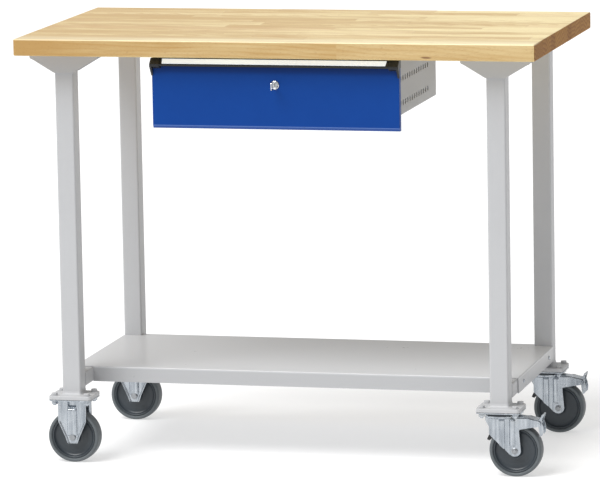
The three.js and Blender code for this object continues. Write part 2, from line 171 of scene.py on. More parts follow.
def plain(made):
    """Applies an object's modifiers, which leaves it a plain mesh."""
    bpy.context.view_layer.update()
    seen = made.evaluated_get(bpy.context.evaluated_depsgraph_get())
    old = made.data
    made.data = bpy.data.meshes.new_from_object(seen)
    made.modifiers.clear()
    bpy.data.meshes.remove(old)
    return made


def claimed(made, body, replaced):
    """Rides a piece on a body and hides the CAD parts that it stands in for."""
    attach(made, body)
    if replaced:
        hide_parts(*replaced)


def piece(name, work, body, material, replaced=(), sharp=35):
    """Turns a bmesh into a finished piece, smooth between its sharp edges."""
    made = shown(name, meshed(name, work))
    made.data.shade_smooth()
    made.data.set_sharp_from_angle(angle=math.radians(sharp))
    made.modifiers.new("Weighted_Normal", "WEIGHTED_NORMAL").keep_sharp = True
    plain(made)
    made.data.materials.clear()
    made.data.materials.append(material)
    claimed(made, body, replaced)


def middle_of(node):
    """The middle of a CAD part's box."""
    low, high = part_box(node)
    return (low + high) / 2


def cad_copy(node):
    """A bmesh of a CAD part with its loose triangles merged into flat faces."""
    work = bmesh.new()
    work.from_mesh(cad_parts[node].data)
    bmesh.ops.remove_doubles(work, verts=work.verts, dist=2e-6)
    bmesh.ops.dissolve_limit(work, angle_limit=math.radians(0.5), verts=work.verts, edges=work.edges)
    return work


def eased(work, width, segments=2, chosen=lambda edge: True, angle=30):
    """Rounds the chosen edges of a bmesh that are sharper than angle."""
    edges = [e for e in work.edges
             if len(e.link_faces) == 2 and e.calc_face_angle(0) > math.radians(angle) and chosen(e)]
    bmesh.ops.bevel(work, geom=edges, offset=width, segments=segments, profile=0.5,
                    affect="EDGES", clamp_overlap=True)
    return work


STAVE = 50 * MM
RING, FINE_RING = 10.5 * MM, 2.1 * MM
top_low, top_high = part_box("worktop")
KNOT = Vector((370 * MM, top_low.y, top_high.z - 33 * MM))


def beech(wire, place):
    x, y, z = place.parts()
    row = ((y - top_low.y) / STAVE).floor()
    across = ((y - top_low.y) / STAVE).fract()
    row_luck = wire.node("TexWhiteNoise", {"noise_dimensions": "1D"}, {"W": row + 0.5})
    inner = row.between(0.2, 0.8)
    length = (0.32 + 0.42 * row_luck) * (4 - 3 * inner)
    run = (x + 5.0 + 3.7 * row_luck) / length
    seed = wire.joined(row + 0.5, run.floor(), 3.5)
    luck_a, luck_b, luck_c = wire.node("TexWhiteNoise", values={"Vector": seed}, out="Color").parts()

    # Growth rings are cylinders about a pith line that leans a little in each block.
    pith_y = y - top_low.y - (row + 0.5) * STAVE + 0.16 * (luck_a - 0.5)
    pith_z = z - top_low.z + 0.05 + 0.12 * luck_b
    lean_y, lean_z = 0.09 * (luck_c - 0.5), 0.34 * (luck_a - 0.45)
    warp = wire.cloud(place, 3.0, 2.0, 0.5, stretch=(1.2, 5, 5))
    warped = 0.035 * (warp - 0.5)
    ring_y, ring_z = pith_y + lean_y * x + warped, pith_z + lean_z * x + warped
    radius = (ring_y * ring_y + ring_z * ring_z) ** 0.5
    ring = (radius / RING + 3.0 * luck_c).fract()
    late = ring.between(0.35, 0.93) * ring.between(1.0, 0.95)
    fine = (radius / FINE_RING).fract().between(0.2, 0.9)

    offset = wire.joined(luck_a * 9.0, luck_b * 9.0, luck_c * 9.0)
    moved = place.vector("ADD", offset)
    streak = wire.cloud(moved, 1.0, 4.0, 0.6, stretch=(5, 85, 85))
    thread = wire.cloud(moved, 1.0, 3.0, 0.65, stretch=(28, 620, 620))
    flecks = wire.cloud(moved, 1.0, 1.0, 0.4, stretch=(130, 950, 950)).between(0.60, 0.70)
    broad = wire.cloud(moved, 1.0, 2.0, 0.5, stretch=(2.2, 22, 22))

    dark, light = tint("c8a35c"), tint("f3e0a6")
    # The 0.44 * x term paints the top lighter towards the right: a painted sheen.
    tone = 0.50 + 0.44 * x + (0.12 + 0.32 * inner) * (luck_b - 0.4)
    tone = tone + 1.2 * (broad - 0.5) + 0.7 * (streak - 0.5) + 0.34 * (thread - 0.5)
    tone = tone - (0.16 + 0.08 * inner) * late - 0.08 * fine
    colour = wire.mixed(tone.between(0.0, 1.0), dark, light)
    rosy = wire.mixed(luck_c.between(0.6, 1.0) * (0.06 + 0.22 * inner), colour, tint("d0a268"))
    flecked = wire.mixed(flecks * 0.30, rosy, tint("9c6b3a"))

    # End grain is darker and shows its pores.
    end = x.maths("ABSOLUTE").between(top_high.x - 2 * MM, top_high.x - 1 * MM)
    pores = wire.cloud(place, 1.0, 2.0, 0.6, stretch=(300, 1500, 1500)).between(0.35, 0.65)
    end_tone = 0.35 + 0.35 * luck_b + 0.3 * (pores - 0.5) - 0.35 * late
    end_colour = wire.mixed(end_tone.between(0.0, 1.0), tint("86592c"), tint("b48544"))
    sawn = wire.mixed(end, flecked, end_colour)

    # Glue lines between staves and at their butt joints.
    seam_y = across.maths("PINGPONG", 0.5).between(0.012, 0.003)
    seam_x = (run.fract().maths("PINGPONG", 0.5) * length).between(0.0007, 0.0002)
    seam = seam_y.maths("MAXIMUM", seam_x)
    glued = wire.mixed(seam * 0.42, sawn, tint("8f6236"))

    # A band along the front of the top is painted lighter, most at its front edge: a painted highlight.
    front = y.between(top_low.y + 110 * MM, top_low.y + 8 * MM)
    painted_front_highlight = front * z.between(top_high.z - 3.2 * MM, top_high.z - 2.2 * MM)
    front_highlighted = wire.mixed(painted_front_highlight * 0.42, glued, tint("fbf0cc"))

    # One small knot in the front edge.
    dx, dy, dz = place.vector("SUBTRACT", KNOT).parts()
    far = (dx * dx / 14.0 + dy * dy + dz * dz * 2.0) ** 0.5
    knotty = far + 0.004 * (thread - 0.5)
    knot = wire.mixed(knotty.between(0.0042, 0.0016) * 0.85, front_highlighted, tint("6e4522"))

    height = 0.5 * thread + 0.3 * late - 0.8 * seam - 0.3 * flecks
    roughness = 0.42 + 0.14 * (thread - 0.5) + 0.40 * end + 0.08 * (broad - 0.5)
    return {"Base Color": knot, "Roughness": roughness, "Coat Weight": 0.30 * (1 - end),
            "Normal": wire.bump(height, 0.00015, 0.6)}


BEECH = finish_of("oiled_beech", beech, IOR=1.47, Coat_Roughness=0.30)

worktop = bmesh.new()
bmesh.ops.create_cube(worktop, size=1.0)
bmesh.ops.scale(worktop, vec=top_high - top_low, verts=worktop.verts)
bmesh.ops.translate(worktop, vec=(top_low + top_high) / 2, verts=worktop.verts)
piece("worktop_staves", eased(worktop, 3.5 * MM, 5), "bench_frame", BEECH, ["worktop"])


# ---- Legs ----
# Square steel tube, 45 mm wide with rounded corners, powder-coated light grey. A smooth welded
# fillet joins each leg to its foot plate.
def orange_peel(wire, place, low, high, glossy=0.42):
    """Powder coat: almost one colour, with the fine waves that the powder leaves when it melts."""
    cloud = wire.cloud(place, 9.0, 3.0, 0.55)
    peel = wire.cloud(place, 520.0, 2.0, 0.5)
    dust = wire.cloud(place, 60.0, 4.0, 0.6)
    return {"Base Color": wire.mixed((cloud - 0.5) * 0.9 + dust * 0.5 + 0.25, low, high),
            "Roughness": glossy + 0.10 * (cloud - 0.5) + 0.06 * (dust - 0.5),
            "Normal": wire.bump(peel, 0.00006, 0.5)}


def grey_coat(wire, place):
    return orange_peel(wire, place, tint("b4b5b7"), tint("babbbd"))


GREY = finish_of("grey_powder_coat", grey_coat, IOR=1.48)


def rounded_outline(points, radii, steps=6):
    """The corners of a closed outline turned into arcs; radii is one radius or one per corner."""
    if isinstance(radii, (int, float)):
        radii = [radii] * len(points)
    outline = []
    for i, radius in enumerate(radii):
        corner = Vector(points[i])
        before = Vector(points[i - 1]) - corner
        after = Vector(points[(i + 1) % len(points)]) - corner
        half = before.angle(after) / 2
        if radius <= 0 or half > math.radians(89):
            outline.append(corner)
            continue
        middle = corner + (before.normalized() + after.normalized()).normalized() * radius / math.sin(half)
        first = corner + before.normalized() * radius / math.tan(half) - middle
        last = corner + after.normalized() * radius / math.tan(half) - middle
        turn = first.angle_signed(last)
        for step in range(steps + 1):
            outline.append(middle + Matrix.Rotation(-turn * step / steps, 2) @ first)
    return outline


def rectangle(width, height, centre=(0, 0)):
    (u, v), w, h = centre, width / 2, height / 2
    return [(u - w, v - h), (u + w, v - h), (u + w, v + h), (u - w, v + h)]


def placed(point, level, axis):
    u, v = point
    return {"X": (level, u, v), "Y": (u, level, v), "Z": (u, v, level)}[axis]


def extruded(outline, low, high, axis="Z", hole=None):
    """A prism of an outline, drawn as (y, z), (x, z) or (x, y); a hole has as many points as it."""
    work = bmesh.new()

    def ring(points, level):
        return [work.verts.new(placed(p, level, axis)) for p in points]

    def wall(first, second):
        for i in range(len(first)):
            work.faces.new((first[i - 1], first[i], second[i], second[i - 1]))

    ends = [ring(outline, low), ring(outline, high)]
    wall(*ends)
    if hole:
        inner = [ring(hole, low), ring(hole, high)]
        wall(*inner)
        wall(ends[0], inner[0])
        wall(ends[1], inner[1])
    else:
        work.faces.new(ends[0])
        work.faces.new(ends[1])
    bmesh.ops.recalc_face_normals(work, faces=work.faces)
    return work


def joined(*works):
    """One bmesh from several."""
    whole = works[0]
    for work in works[1:]:
        mesh = meshed("part", work)
        whole.from_mesh(mesh)
        bpy.data.meshes.remove(mesh)
    return whole


def moved(work, place, turn=Matrix()):
    bmesh.ops.transform(work, matrix=Matrix.Translation(place) @ turn, verts=work.verts)
    return work


CORNERS = ["front_left", "front_right", "back_left", "back_right"]
LEG = {"side": 45 * MM, "wall": 2 * MM, "corner": 4.5 * MM}
FILLET_RISE, FILLET_RUN = 9 * MM, 7 * MM


def tube(width, height, wall, corner, low, high, axis, centre):
    """A rectangular tube, open at both ends."""
    outside = rounded_outline(rectangle(width, height, centre), corner)
    inside = rounded_outline(rectangle(width - 2 * wall, height - 2 * wall, centre), corner - wall)
    return extruded(outside, low, high, axis, inside)


def ring_faces(work, rings):
    """Faces from each closed ring of vertices to the next, and from the last to the first."""
    for i, ring in enumerate(rings):
        for k in range(len(ring)):
            work.faces.new((rings[i - 1][k - 1], ring[k - 1], ring[k], rings[i - 1][k]))


def weld_fillet(corner_path, level, rise, run):
    """A hollow fillet along a closed path of (x, y, out) round a tube, on a plate at a level."""
    work = bmesh.new()
    profile = [(-0.02, 0.0), (-0.02, 1.0), (0.04, 0.93), (0.11, 0.62), (0.25, 0.36),
               (0.48, 0.17), (0.78, 0.06), (1.0, 0.0)]
    rings = []
    for i, (point, out) in enumerate(corner_path):
        swell = 1 + 0.05 * math.sin(i * 1.9) + 0.04 * math.sin(i * 0.73 + 1)
        rings.append([work.verts.new((*(point + out * a * run * swell), level + b * rise * swell))
                      for a, b in profile])
    ring_faces(work, rings)
    bmesh.ops.recalc_face_normals(work, faces=work.faces)
    return work


def round_path(width, height, corner, centre, spacing=4 * MM):
    """Points round a rounded rectangle with the outward direction at each of them."""
    outline = rounded_outline(rectangle(width, height, centre), corner, 8)
    path = []
    for i, point in enumerate(outline):
        start = outline[i - 1]
        count = max(1, round((point - start).length / spacing))
        for step in range(1, count + 1):
            path.append(start.lerp(point, step / count))
    middle = Vector(centre)
    result = []
    for i, point in enumerate(path):
        along = path[(i + 1) % len(path)] - path[i - 1]
        out = Vector((along.y, -along.x)).normalized()
        result.append((point, out if out.dot(point - middle) > 0 else -out))
    return result


for corner in CORNERS:
    low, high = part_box(f"leg_{corner}")
    centre = middle_of(f"leg_{corner}").xy
    shaft = tube(LEG["side"], LEG["side"], LEG["wall"], LEG["corner"], low.z, high.z, "Z", centre)
    path = round_path(LEG["side"], LEG["side"], LEG["corner"], centre)
    fillet = weld_fillet(path, low.z, FILLET_RISE, FILLET_RUN)
    piece(f"leg_tube_{corner}", joined(shaft, fillet), "bench_frame", GREY, [f"leg_{corner}"])


# ---- Head brackets ----
# A folded steel sheet, 3 mm thick, welded over the top of each leg. Its web is screwed up into
# the worktop, and its wings taper down to the leg at the front and at the back.
HEAD = {"sheet": 3 * MM, "bend": 3.5 * MM, "height": 46 * MM, "end": 14 * MM, "round": 6 * MM}


def grid(rows):
    """A sheet through rows of points."""
    work = bmesh.new()
    verts = [[work.verts.new(p) for p in row] for row in rows]
    for near, far in zip(verts, verts[1:]):
        for i in range(len(near) - 1):
            work.faces.new((near[i], near[i + 1], far[i + 1], far[i]))
    bmesh.ops.remove_doubles(work, verts=work.verts, dist=1e-6)
    return work


def thickened(work, thick):
    """Gives a sheet its thickness, half to each side."""
    bmesh.ops.recalc_face_normals(work, faces=work.faces)
    bmesh.ops.dissolve_degenerate(work, edges=work.edges, dist=1e-7)
    sheet = shown("sheet", meshed("sheet", work))
    layer = sheet.modifiers.new("Thickness", "SOLIDIFY")
    layer.thickness, layer.offset, layer.use_even_offset = thick, 0.0, True
    mesh = plain(sheet).data
    solid = bmesh.new()
    solid.from_mesh(mesh)
    bpy.data.objects.remove(sheet)
    bpy.data.meshes.remove(mesh)
    bmesh.ops.recalc_face_normals(solid, faces=solid.faces)
    return solid


def wing_height(x, reach):
    """How far the flange hangs down at a distance x from the middle of the leg."""
    flat, end = LEG["side"] / 2, reach - HEAD["round"]
    slope = (HEAD["height"] - HEAD["end"]) / (end - flat)
    height = HEAD["height"] - slope * max(0.0, min(x, end) - flat)
    if x > end:
        height -= HEAD["round"] - math.sqrt(max(0.0, HEAD["round"] ** 2 - (x - end) ** 2))
    return height


def head_bracket(corner):
    low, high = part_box(f"head_bracket_{corner}")
    middle, reach = (low + high) / 2, (high.x - low.x) / 2
    side, top, bend = (high.y - low.y) / 2 - HEAD["sheet"] / 2, high.z - HEAD["sheet"] / 2, HEAD["bend"]
    steps = [reach * math.sin(math.pi / 2 * i / 24) for i in range(25)]
    rows = []
    for x in sorted({-s for s in steps} | set(steps)):
        foot = high.z - wing_height(abs(x), reach)
        half = [(side, foot + (top - bend - foot) * i / 8) for i in range(9)]
        half += [(side - bend + bend * math.cos(a), top - bend + bend * math.sin(a))
                 for a in (math.pi / 12 * i for i in range(1, 7))]
        full = half + [(-y, z) for y, z in reversed(half)]
        rows.append([(middle.x + x, middle.y - y, z) for y, z in full])
    return thickened(grid(rows), HEAD["sheet"])


def weld_line(start, end, out, radius, seed):
    """A row of small overlapping weld drops between two points."""
    luck = random.Random(seed)
    count = max(2, round((end - start).length / (1.1 * radius)))
    drops = []
    for i in range(count + 1):
        drop = bmesh.new()
        bmesh.ops.create_icosphere(drop, subdivisions=2, radius=radius * luck.uniform(0.8, 1.1))
        flat = Matrix.Diagonal((1.0, 0.55, 0.85, 1.0))
        drops.append(moved(drop, start.lerp(end, i / count) + out * luck.uniform(-0.1, 0.1) * radius, flat))
    return joined(*drops)


for number, corner in enumerate(CORNERS):
    low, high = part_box(f"head_bracket_{corner}")
    x = middle_of(f"leg_{corner}").x
    parts = [head_bracket(corner)]
    for side, y in ((-1, low.y + 2.6 * MM), (1, high.y - 2.6 * MM)):
        z = high.z - HEAD["height"] - 0.6 * MM
        for k, (a, b) in enumerate(((-15, -9), (8, 15))):
            ends = Vector((x + a * MM, y, z)), Vector((x + b * MM, y, z))
            parts.append(weld_line(*ends, Vector((0, side, 0)), 1.7 * MM, 10 * number + k))
    piece(f"head_{corner}", joined(*parts), "bench_frame", GREY, [f"head_bracket_{corner}"])


# ---- Foot plates ----
# A thick steel plate with rounded corners, welded under each leg and powder-coated with it. The
# castor's own plate is bolted up against its underside.
def plate(node, ease, segments, thick=None):
    """A plate with rounded corners, as thick as its node or as thick as told, from the top."""
    low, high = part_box(node)
    size, centre = high - low, (low + high) / 2
    outline = rounded_outline(rectangle(size.x, size.y, centre.xy), 9 * MM, 8)
    foot = high.z - thick if thick else low.z
    return eased(extruded(outline, foot, high.z), ease, segments, angle=50)


for corner in CORNERS:
    node = f"foot_plate_{corner}"
    piece(f"foot_{corner}", plate(node, 1.8 * MM, 3), "bench_frame", GREY, [node])


# ---- Side rails and shelf ----
# A rectangular tube runs from the front leg to the back leg on each side. The shelf is one steel
# sheet with its edges folded down, hooked over both rails.
for side in ("left", "right"):
    low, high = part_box(f"side_rail_{side}")
    size, centre = high - low, (low + high) / 2
    rail = tube(size.x, size.z, 2 * MM, 3.5 * MM, low.y, high.y, "Y", (centre.x, centre.z))
    piece(f"rail_{side}", rail, "bench_frame", GREY, [f"side_rail_{side}"])

shelf_low, shelf_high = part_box("shelf")


def shelf_coat_painted_light(wire, place):
    """The same coat in a lighter copy, which is painted light on the shelf, glossier on the wide flat
    sheet, with painted shade making its folded edges a little greyer.
    """
    # Its two tints are lighter than the frame's grey coat: painted light on the shelf.
    made = orange_peel(wire, place, tint("bcbdbf"), tint("c3c4c6"), 0.30)
    # Painted shade: the folded-down edges below the top are greyer.
    painted_fold_shade = place.parts()[2].between(shelf_high.z - FOLD, shelf_high.z - 2 * FOLD)
    made["Base Color"] = wire.mixed(painted_fold_shade, made["Base Color"], tint("b0b1b3"))
    return made


FOLD = 2.8 * MM
SHELF_LIT_GREY = finish_of("shelf_powder_coat_painted_light", shelf_coat_painted_light, IOR=1.48)
SHELF_SHEET = 2 * MM
rail_low, rail_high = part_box("side_rail_right")
between = rail_low.x


def folded(outside, inside):
    """A sheet's section from the points where its outside and its inside turn."""
    bends = len(outside) - 2
    outer = rounded_outline(outside, [0] + [FOLD] * bends + [0])
    return outer + rounded_outline(inside, [0] + [FOLD - SHELF_SHEET] * bends + [0])[::-1]


def shelf_section(inset):
    """The top sheet with a flange down at the front and at the back, seen from the side."""
    front, back, top = shelf_low.y + inset, shelf_high.y - inset, shelf_high.z - inset
    return [(front, shelf_low.z), (front, top), (back, top), (back, shelf_low.z)]


shelf = extruded(folded(shelf_section(0), shelf_section(SHELF_SHEET)), -between, between, "X")
for side in (-1, 1):
    near, far = side * between, side * shelf_high.x
    under, within = shelf_high.z - SHELF_SHEET, far - side * SHELF_SHEET
    outside = [(near, shelf_high.z), (far, shelf_high.z), (far, shelf_low.z)]
    inside = [(near, under), (within, under), (within, shelf_low.z)]
    shelf = joined(shelf, extruded(folded(outside, inside), shelf_low.y, rail_high.y, "Y"))
piece("shelf_sheet", shelf, "bench_frame", SHELF_LIT_GREY, ["shelf"])


# ---- Bolts and screws ----
# Hexagon bolts, coated over with the frame, and zinc-plated nuts clamp each castor's top plate
# under its foot plate. Pan-head screws hold the head brackets and the housing up to the worktop.
def zinc_plate(wire, place):
    """Bright zinc: bluish white, with faint pressing lines in its gloss, vertical light and dark streaks
    painted in for reflections, and a slightly mottled passivation.
    """
    mottle = wire.cloud(place, 45.0, 4.0, 0.6)
    large = wire.cloud(place, 12.0, 2.0)
    scuff = wire.cloud(place, 1.0, 3.0, 0.6, stretch=(160, 160, 900))
    # Vertical light and dark streaks in the colour: painted reflections.
    painted_reflection_streaks = wire.cloud(place, 1.0, 3.0, 0.6, stretch=(150, 150, 9))
    tone = 0.5 + 0.5 * (mottle - 0.5) + 0.6 * (large - 0.5) + 1.1 * (painted_reflection_streaks - 0.5)
    colour = wire.mixed(tone.between(0.0, 1.0), tint("8d949c"), tint("ccd2d8"))
    return {"Base Color": wire.mixed(large.between(0.55, 0.75) * 0.20, colour, tint("b3ae98")),
            "Roughness": 0.25 + 0.18 * (mottle - 0.5) + 0.12 * (scuff - 0.5),
            "Metallic": 0.82 + 0.12 * large,
            "Normal": wire.bump(scuff + 0.6 * mottle, 0.00008, 0.35)}


ZINC = finish_of("bright_zinc", zinc_plate)


def turned(profile, segments):
    """A body turned about Z from a closed profile of (radius, z) in millimetres."""
    work = bmesh.new()
    rings = []
    for i in range(segments):
        angle = 2 * math.pi * i / segments
        x, y = MM * math.cos(angle), MM * math.sin(angle)
        rings.append([work.verts.new((r * x, r * y, z * MM)) for r, z in profile])
    ring_faces(work, rings)
    bmesh.ops.remove_doubles(work, verts=work.verts, dist=1e-7)
    bmesh.ops.dissolve_degenerate(work, edges=work.edges, dist=1e-7)
    bmesh.ops.recalc_face_normals(work, faces=work.faces)
    return work


def hexagon(flats, low, high):
    """A hexagon head, in millimetres, with its corners turned off."""
    corner = flats * MM / math.sqrt(3)
    points = [(corner * math.cos(math.pi / 3 * i), corner * math.sin(math.pi / 3 * i)) for i in range(6)]
    return eased(extruded(points, low * MM, high * MM), 0.32 * MM, 2, angle=20)


def washer(outer, low, high):
    """A solid disc, in millimetres, with its rims turned off."""
    ease = 0.25 * (high - low)
    return turned([(0, low), (outer - ease, low), (outer, low + ease), (outer, high - ease),
                   (outer - ease, high), (0, high)], 28)


def item(name, work):
    """A hidden pattern piece for scattering."""
    mesh = meshed(name, work)
    mesh.shade_smooth()
    mesh.set_sharp_from_angle(angle=math.radians(32))
    return bpy.data.objects.new(name, mesh)


class Nodes:
    """A Geometry Nodes tree in the making. Its inputs are named, with the kinds of their sockets."""

    def __init__(self, name, **kinds):
        self.tree = bpy.data.node_groups.new(name, "GeometryNodeTree")
        sockets = self.tree.interface
        for socket, kind in kinds.items():
            sockets.new_socket(socket, in_out="INPUT", socket_type="NodeSocket" + kind)
        sockets.new_socket("Result", in_out="OUTPUT", socket_type="NodeSocketGeometry")
        self.given = self.tree.nodes.new("NodeGroupInput").outputs

    def add(self, kind, links, **settings):
        """Adds a node, its settings first, then what its sockets are linked to. Returns its outputs."""
        node = self.tree.nodes.new(kind)
        for name, value in settings.items():
            setattr(node, name, value)
        for socket, sources in links.items():
            for source in sources if isinstance(sources, list) else [sources]:
                self.tree.links.new(source, node.inputs[socket])
        return node.outputs

    def ended(self, geometry):
        """The tree, with its instances made real and its finish set."""
        real = self.add("GeometryNodeRealizeInstances", {0: geometry})
        coated = self.add("GeometryNodeSetMaterial", {0: real[0], "Material": self.given["Finish"]})
        self.add("NodeGroupOutput", {0: coated[0]})
        return self.tree


def scatter_tree():
    """Puts a copy of an item on every point, along an axis and turned by chance about it."""
    nodes = Nodes("fasteners_on_points", Points="Geometry", Item="Object", Axis="Vector", Turn="Float",
                  Seed="Int", Finish="Material")
    given = nodes.given
    source = nodes.add("GeometryNodeObjectInfo", {"Object": given["Item"]})
    chance = nodes.add("FunctionNodeRandomValue", {"Seed": given["Seed"]}, data_type="FLOAT")
    turn = nodes.add("ShaderNodeMath", {0: chance["Value"], 1: given["Turn"]}, operation="MULTIPLY")
    spin = nodes.add("FunctionNodeAxisAngleToRotation", {"Angle": turn[0]})
    lean = nodes.add("FunctionNodeAlignRotationToVector", {"Vector": given["Axis"]}, axis="Z")
    both = nodes.add("FunctionNodeRotateRotation", {"Rotation": lean[0], "Rotate By": spin[0]},
                     rotation_space="LOCAL")
    copies = nodes.add("GeometryNodeInstanceOnPoints", {
        "Points": given["Points"], "Instance": source["Geometry"], "Rotation": both[0]})
    return nodes.ended(copies[0])


SCATTER = scatter_tree()


def with_nodes(name, mesh, tree, values, body, replaced=()):
    """A piece made by a node tree from a mesh."""
    made = shown(name, mesh)
    modifier = made.modifiers.new("Build", "NODES")
    modifier.node_group = tree
    for socket in tree.interface.items_tree:
        if socket.name in values:
            modifier[socket.identifier] = values[socket.name]
    claimed(plain(made), body, replaced)
    return made


def scattered(name, places, pattern, body, finish, axis=(0, 0, 1), seed=1, turn=math.tau):
    """A piece made of a pattern repeated at places, each turned by chance up to turn."""
    mesh = bpy.data.meshes.new(name)
    mesh.from_pydata([tuple(p) for p in places], [], [])
    values = {"Item": pattern, "Axis": axis, "Turn": turn, "Seed": seed, "Finish": finish}
    with_nodes(name, mesh, SCATTER, values, body)


BOLT = {"flats": 13, "washer": 8, "x": 40 * MM, "y": 31.5 * MM}
CASTOR_SHEET = 3 * MM
foot_low, foot_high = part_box("foot_plate_front_left")

bolt_head = joined(washer(BOLT["washer"], 0, 1.4), hexagon(BOLT["flats"], 1.4, 6.0))
nut_below = joined(washer(BOLT["washer"], -1.4, 0), hexagon(BOLT["flats"], -7.9, -1.4),
                   turned([(0, -11), (3.4, -11), (4, -10.4), (4, -7.5), (0, -7.5)], 20))
HEAD_ITEM = item("bolt_head", bolt_head)
NUT_ITEM = item("bolt_nut", nut_below)
legs = [middle_of(f"leg_{corner}") for corner in CORNERS]
plate_spots = [leg.xy + Vector((sx * BOLT["x"], sy * BOLT["y"]))
               for leg in legs for sx in (-1, 1) for sy in (-1, 1)]
scattered("castor_bolt_heads", [(*p, foot_high.z) for p in plate_spots], HEAD_ITEM,
          "bench_frame", GREY, seed=4)
scattered("castor_bolt_nuts", [(*p, foot_low.z - CASTOR_SHEET) for p in plate_spots], NUT_ITEM,
          "bench_frame", ZINC, seed=9)

# Pan heads, facing down: their screws go up into the worktop.
pan = turned([(0, 0), (4.6, 0), (4.6, -0.8), (3.9, -2.1), (2.4, -2.9), (0, -3.1)], 24)
SCREW_ITEM = item("pan_head", pan)
under = top_low.z
web_spots = [(leg.x + sx * x, leg.y, under - HEAD["sheet"])
             for leg in legs for sx in (-1, 1) for x in (42 * MM, 68 * MM)]
flange_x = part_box("housing_side_right")[1].x - 14 * MM
flange_spots = [(side * flange_x, y, under - 1.5 * MM)
                for side in (-1, 1) for y in (-250 * MM, -140 * MM, -30 * MM, 70 * MM)]
scattered("worktop_screws", web_spots + flange_spots, SCREW_ITEM, "bench_frame", ZINC, seed=2)

# Button-head bolts hold the shelf's side flanges to the rails.
button = turned([(0, 0), (5, 0), (5, 0.5), (4.2, 1.7), (2.6, 2.4), (0, 2.6)], 24)
BUTTON_ITEM = item("button_head", button)
flange_z = (shelf_low.z + shelf_high.z) / 2
for side, name in ((-1, "left"), (1, "right")):
    spots = [(side * shelf_high.x, y, flange_z) for y in (-120 * MM, 190 * MM)]
    scattered(f"shelf_bolts_{name}", spots, BUTTON_ITEM, "bench_frame", ZINC, (side, 0, 0), 3)




# ---- Fixed castor forks ----
# One pressed steel fork for each left castor: a top plate with two cheeks that narrow down to the
# axle, stiffened by a raised rib down the middle. Bright zinc.
FORK_SHEET = 2.5 * MM

# Sizes on a fork are in millimetres from the middle of its axle.
CHEEK = 21.75
TIP = 15


def along(points, level):
    """The straight-line value at a level from a short list of (level, value)."""
    if level <= points[0][0]:
        return points[0][1]
    for (a, first), (b, last) in zip(points, points[1:]):
        if level <= b:
            return first + (last - first) * (level - a) / (b - a)
    return points[-1][1]


def softly(points, level, blur):
    """The same with its corners smoothed over a length of blur."""
    return sum(along(points, level + blur * (i - 4) / 8) for i in range(9)) / 9


def plateau(distance, half, soft):
    """1 within half of the middle, easing to 0 over soft."""
    t = min(1.0, max(0.0, (abs(distance) - half) / soft))
    return 1 - t * t * (3 - 2 * t)


def cheek(side, middle, left, right, levels, relief, across):
    """One cheek as a grid: left and right give its edges, relief how far it stands out."""
    rows = []
    for z in levels:
        low, high = left(z), right(z)
        row = [min(max(x, low), high) for x in across]
        rows.append([middle + Vector((x, side * (CHEEK + relief(x, z)), z)) * MM for x in row])
    return thickened(grid(rows), FORK_SHEET)


def tip_half(z, centre):
    """Half the width of the round tip at a level."""
    return math.sqrt(max(0.0, TIP ** 2 - (z - centre) ** 2))


def spread(low, high, count):
    """Even steps from low to high, both included."""
    return [low + (high - low) * i / count for i in range(count + 1)]


for corner in ("front_left", "back_left"):
    node = f"fixed_fork_{corner}"
    middle = middle_of(f"axle_{corner}")
    top = (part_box(node)[1].z - CASTOR_SHEET - middle.z) / MM
    tip, bend = -15.5, 5
    edge = [(tip, 11), (tip + 2, 13), (0, 17.5), (37.5, 34.5), (top, 34.5)]

    def half_width(z):
        return softly(edge, z, 4)

    def fixed_relief(x, z):
        rib = 3.4 * plateau(x, 9, 3) * plateau(z - 36, 30, 4)
        recess = -7.5 * plateau(x, 8.5, 3) * plateau(z - 92, 17, 3)
        hem = 2 * (1 - plateau(x, half_width(z) - 5, 3.5))
        over = max(0.0, z - (top - bend))
        flare = bend - math.sqrt(max(0.0, bend ** 2 - over ** 2))
        return rib + recess + hem + flare

    levels = spread(tip, top - bend, 52)
    levels += [top - bend + bend * math.sin(math.pi / 2 * i / 6) * 0.999 for i in range(1, 7)]
    across = spread(-34.5, 34.5, 69)
    sides = [cheek(side, middle, lambda z: -half_width(z), half_width, levels, fixed_relief, across)
             for side in (-1, 1)]
    top_plate = plate(node, 0.7 * MM, 2, CASTOR_SHEET)
    piece(f"fork_{corner}", joined(top_plate, *sides), "bench_frame", ZINC, [node])


# ---- Swivel plates ----
# The right castors hang from a zinc-plated steel plate with a ball cup pressed down from it. It
# is bolted under the foot plate, and a ring of dark steel seals the balls.
def dark_steel(wire, place):
    mottle = wire.cloud(place, 80.0, 3.0)
    return {"Base Color": wire.mixed(mottle, tint("35393d"), tint("4c5156")),
            "Roughness": 0.34 + 0.15 * (mottle - 0.5)}


DARK_STEEL = finish_of("greased_dark_steel", dark_steel, Metallic=0.6)

for corner in ("front_right", "back_right"):
    node = f"swivel_plate_{corner}"
    place = middle_of(node)
    place.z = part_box(node)[1].z
    cup = turned([(6.6, -3.2), (37, -3.2), (36.4, -4.6), (35, -6.2), (32.5, -7.6), (6.6, -8)], 64)
    top_plate = joined(plate(node, 0.7 * MM, 2, CASTOR_SHEET), moved(cup, place))
    piece(f"top_plate_{corner}", top_plate, "bench_frame", ZINC, [node])
    seal = turned([(30, -8.1), (36.8, -8.1), (37.3, -7.6), (37.3, -4.2), (36.6, -3.2), (30, -3.2)], 64)
    piece(f"ball_seal_{corner}", moved(seal, place), "bench_frame", DARK_STEEL)


# ---- Swivel forks ----
# A deep-drawn fork turns on the ball race. Its cheeks have two pressed ribs and an arm each, which
# reach back over the wheel and carry the brake pedal. Its nose is closed by a curved wall.
def on_swivel(profile, corner, segments=64):
    """A body turned about a castor's king pin, in millimetres."""
    centre = middle_of(f"swivel_plate_{corner}")
    return moved(turned(profile, segments), (centre.x, centre.y, 0))


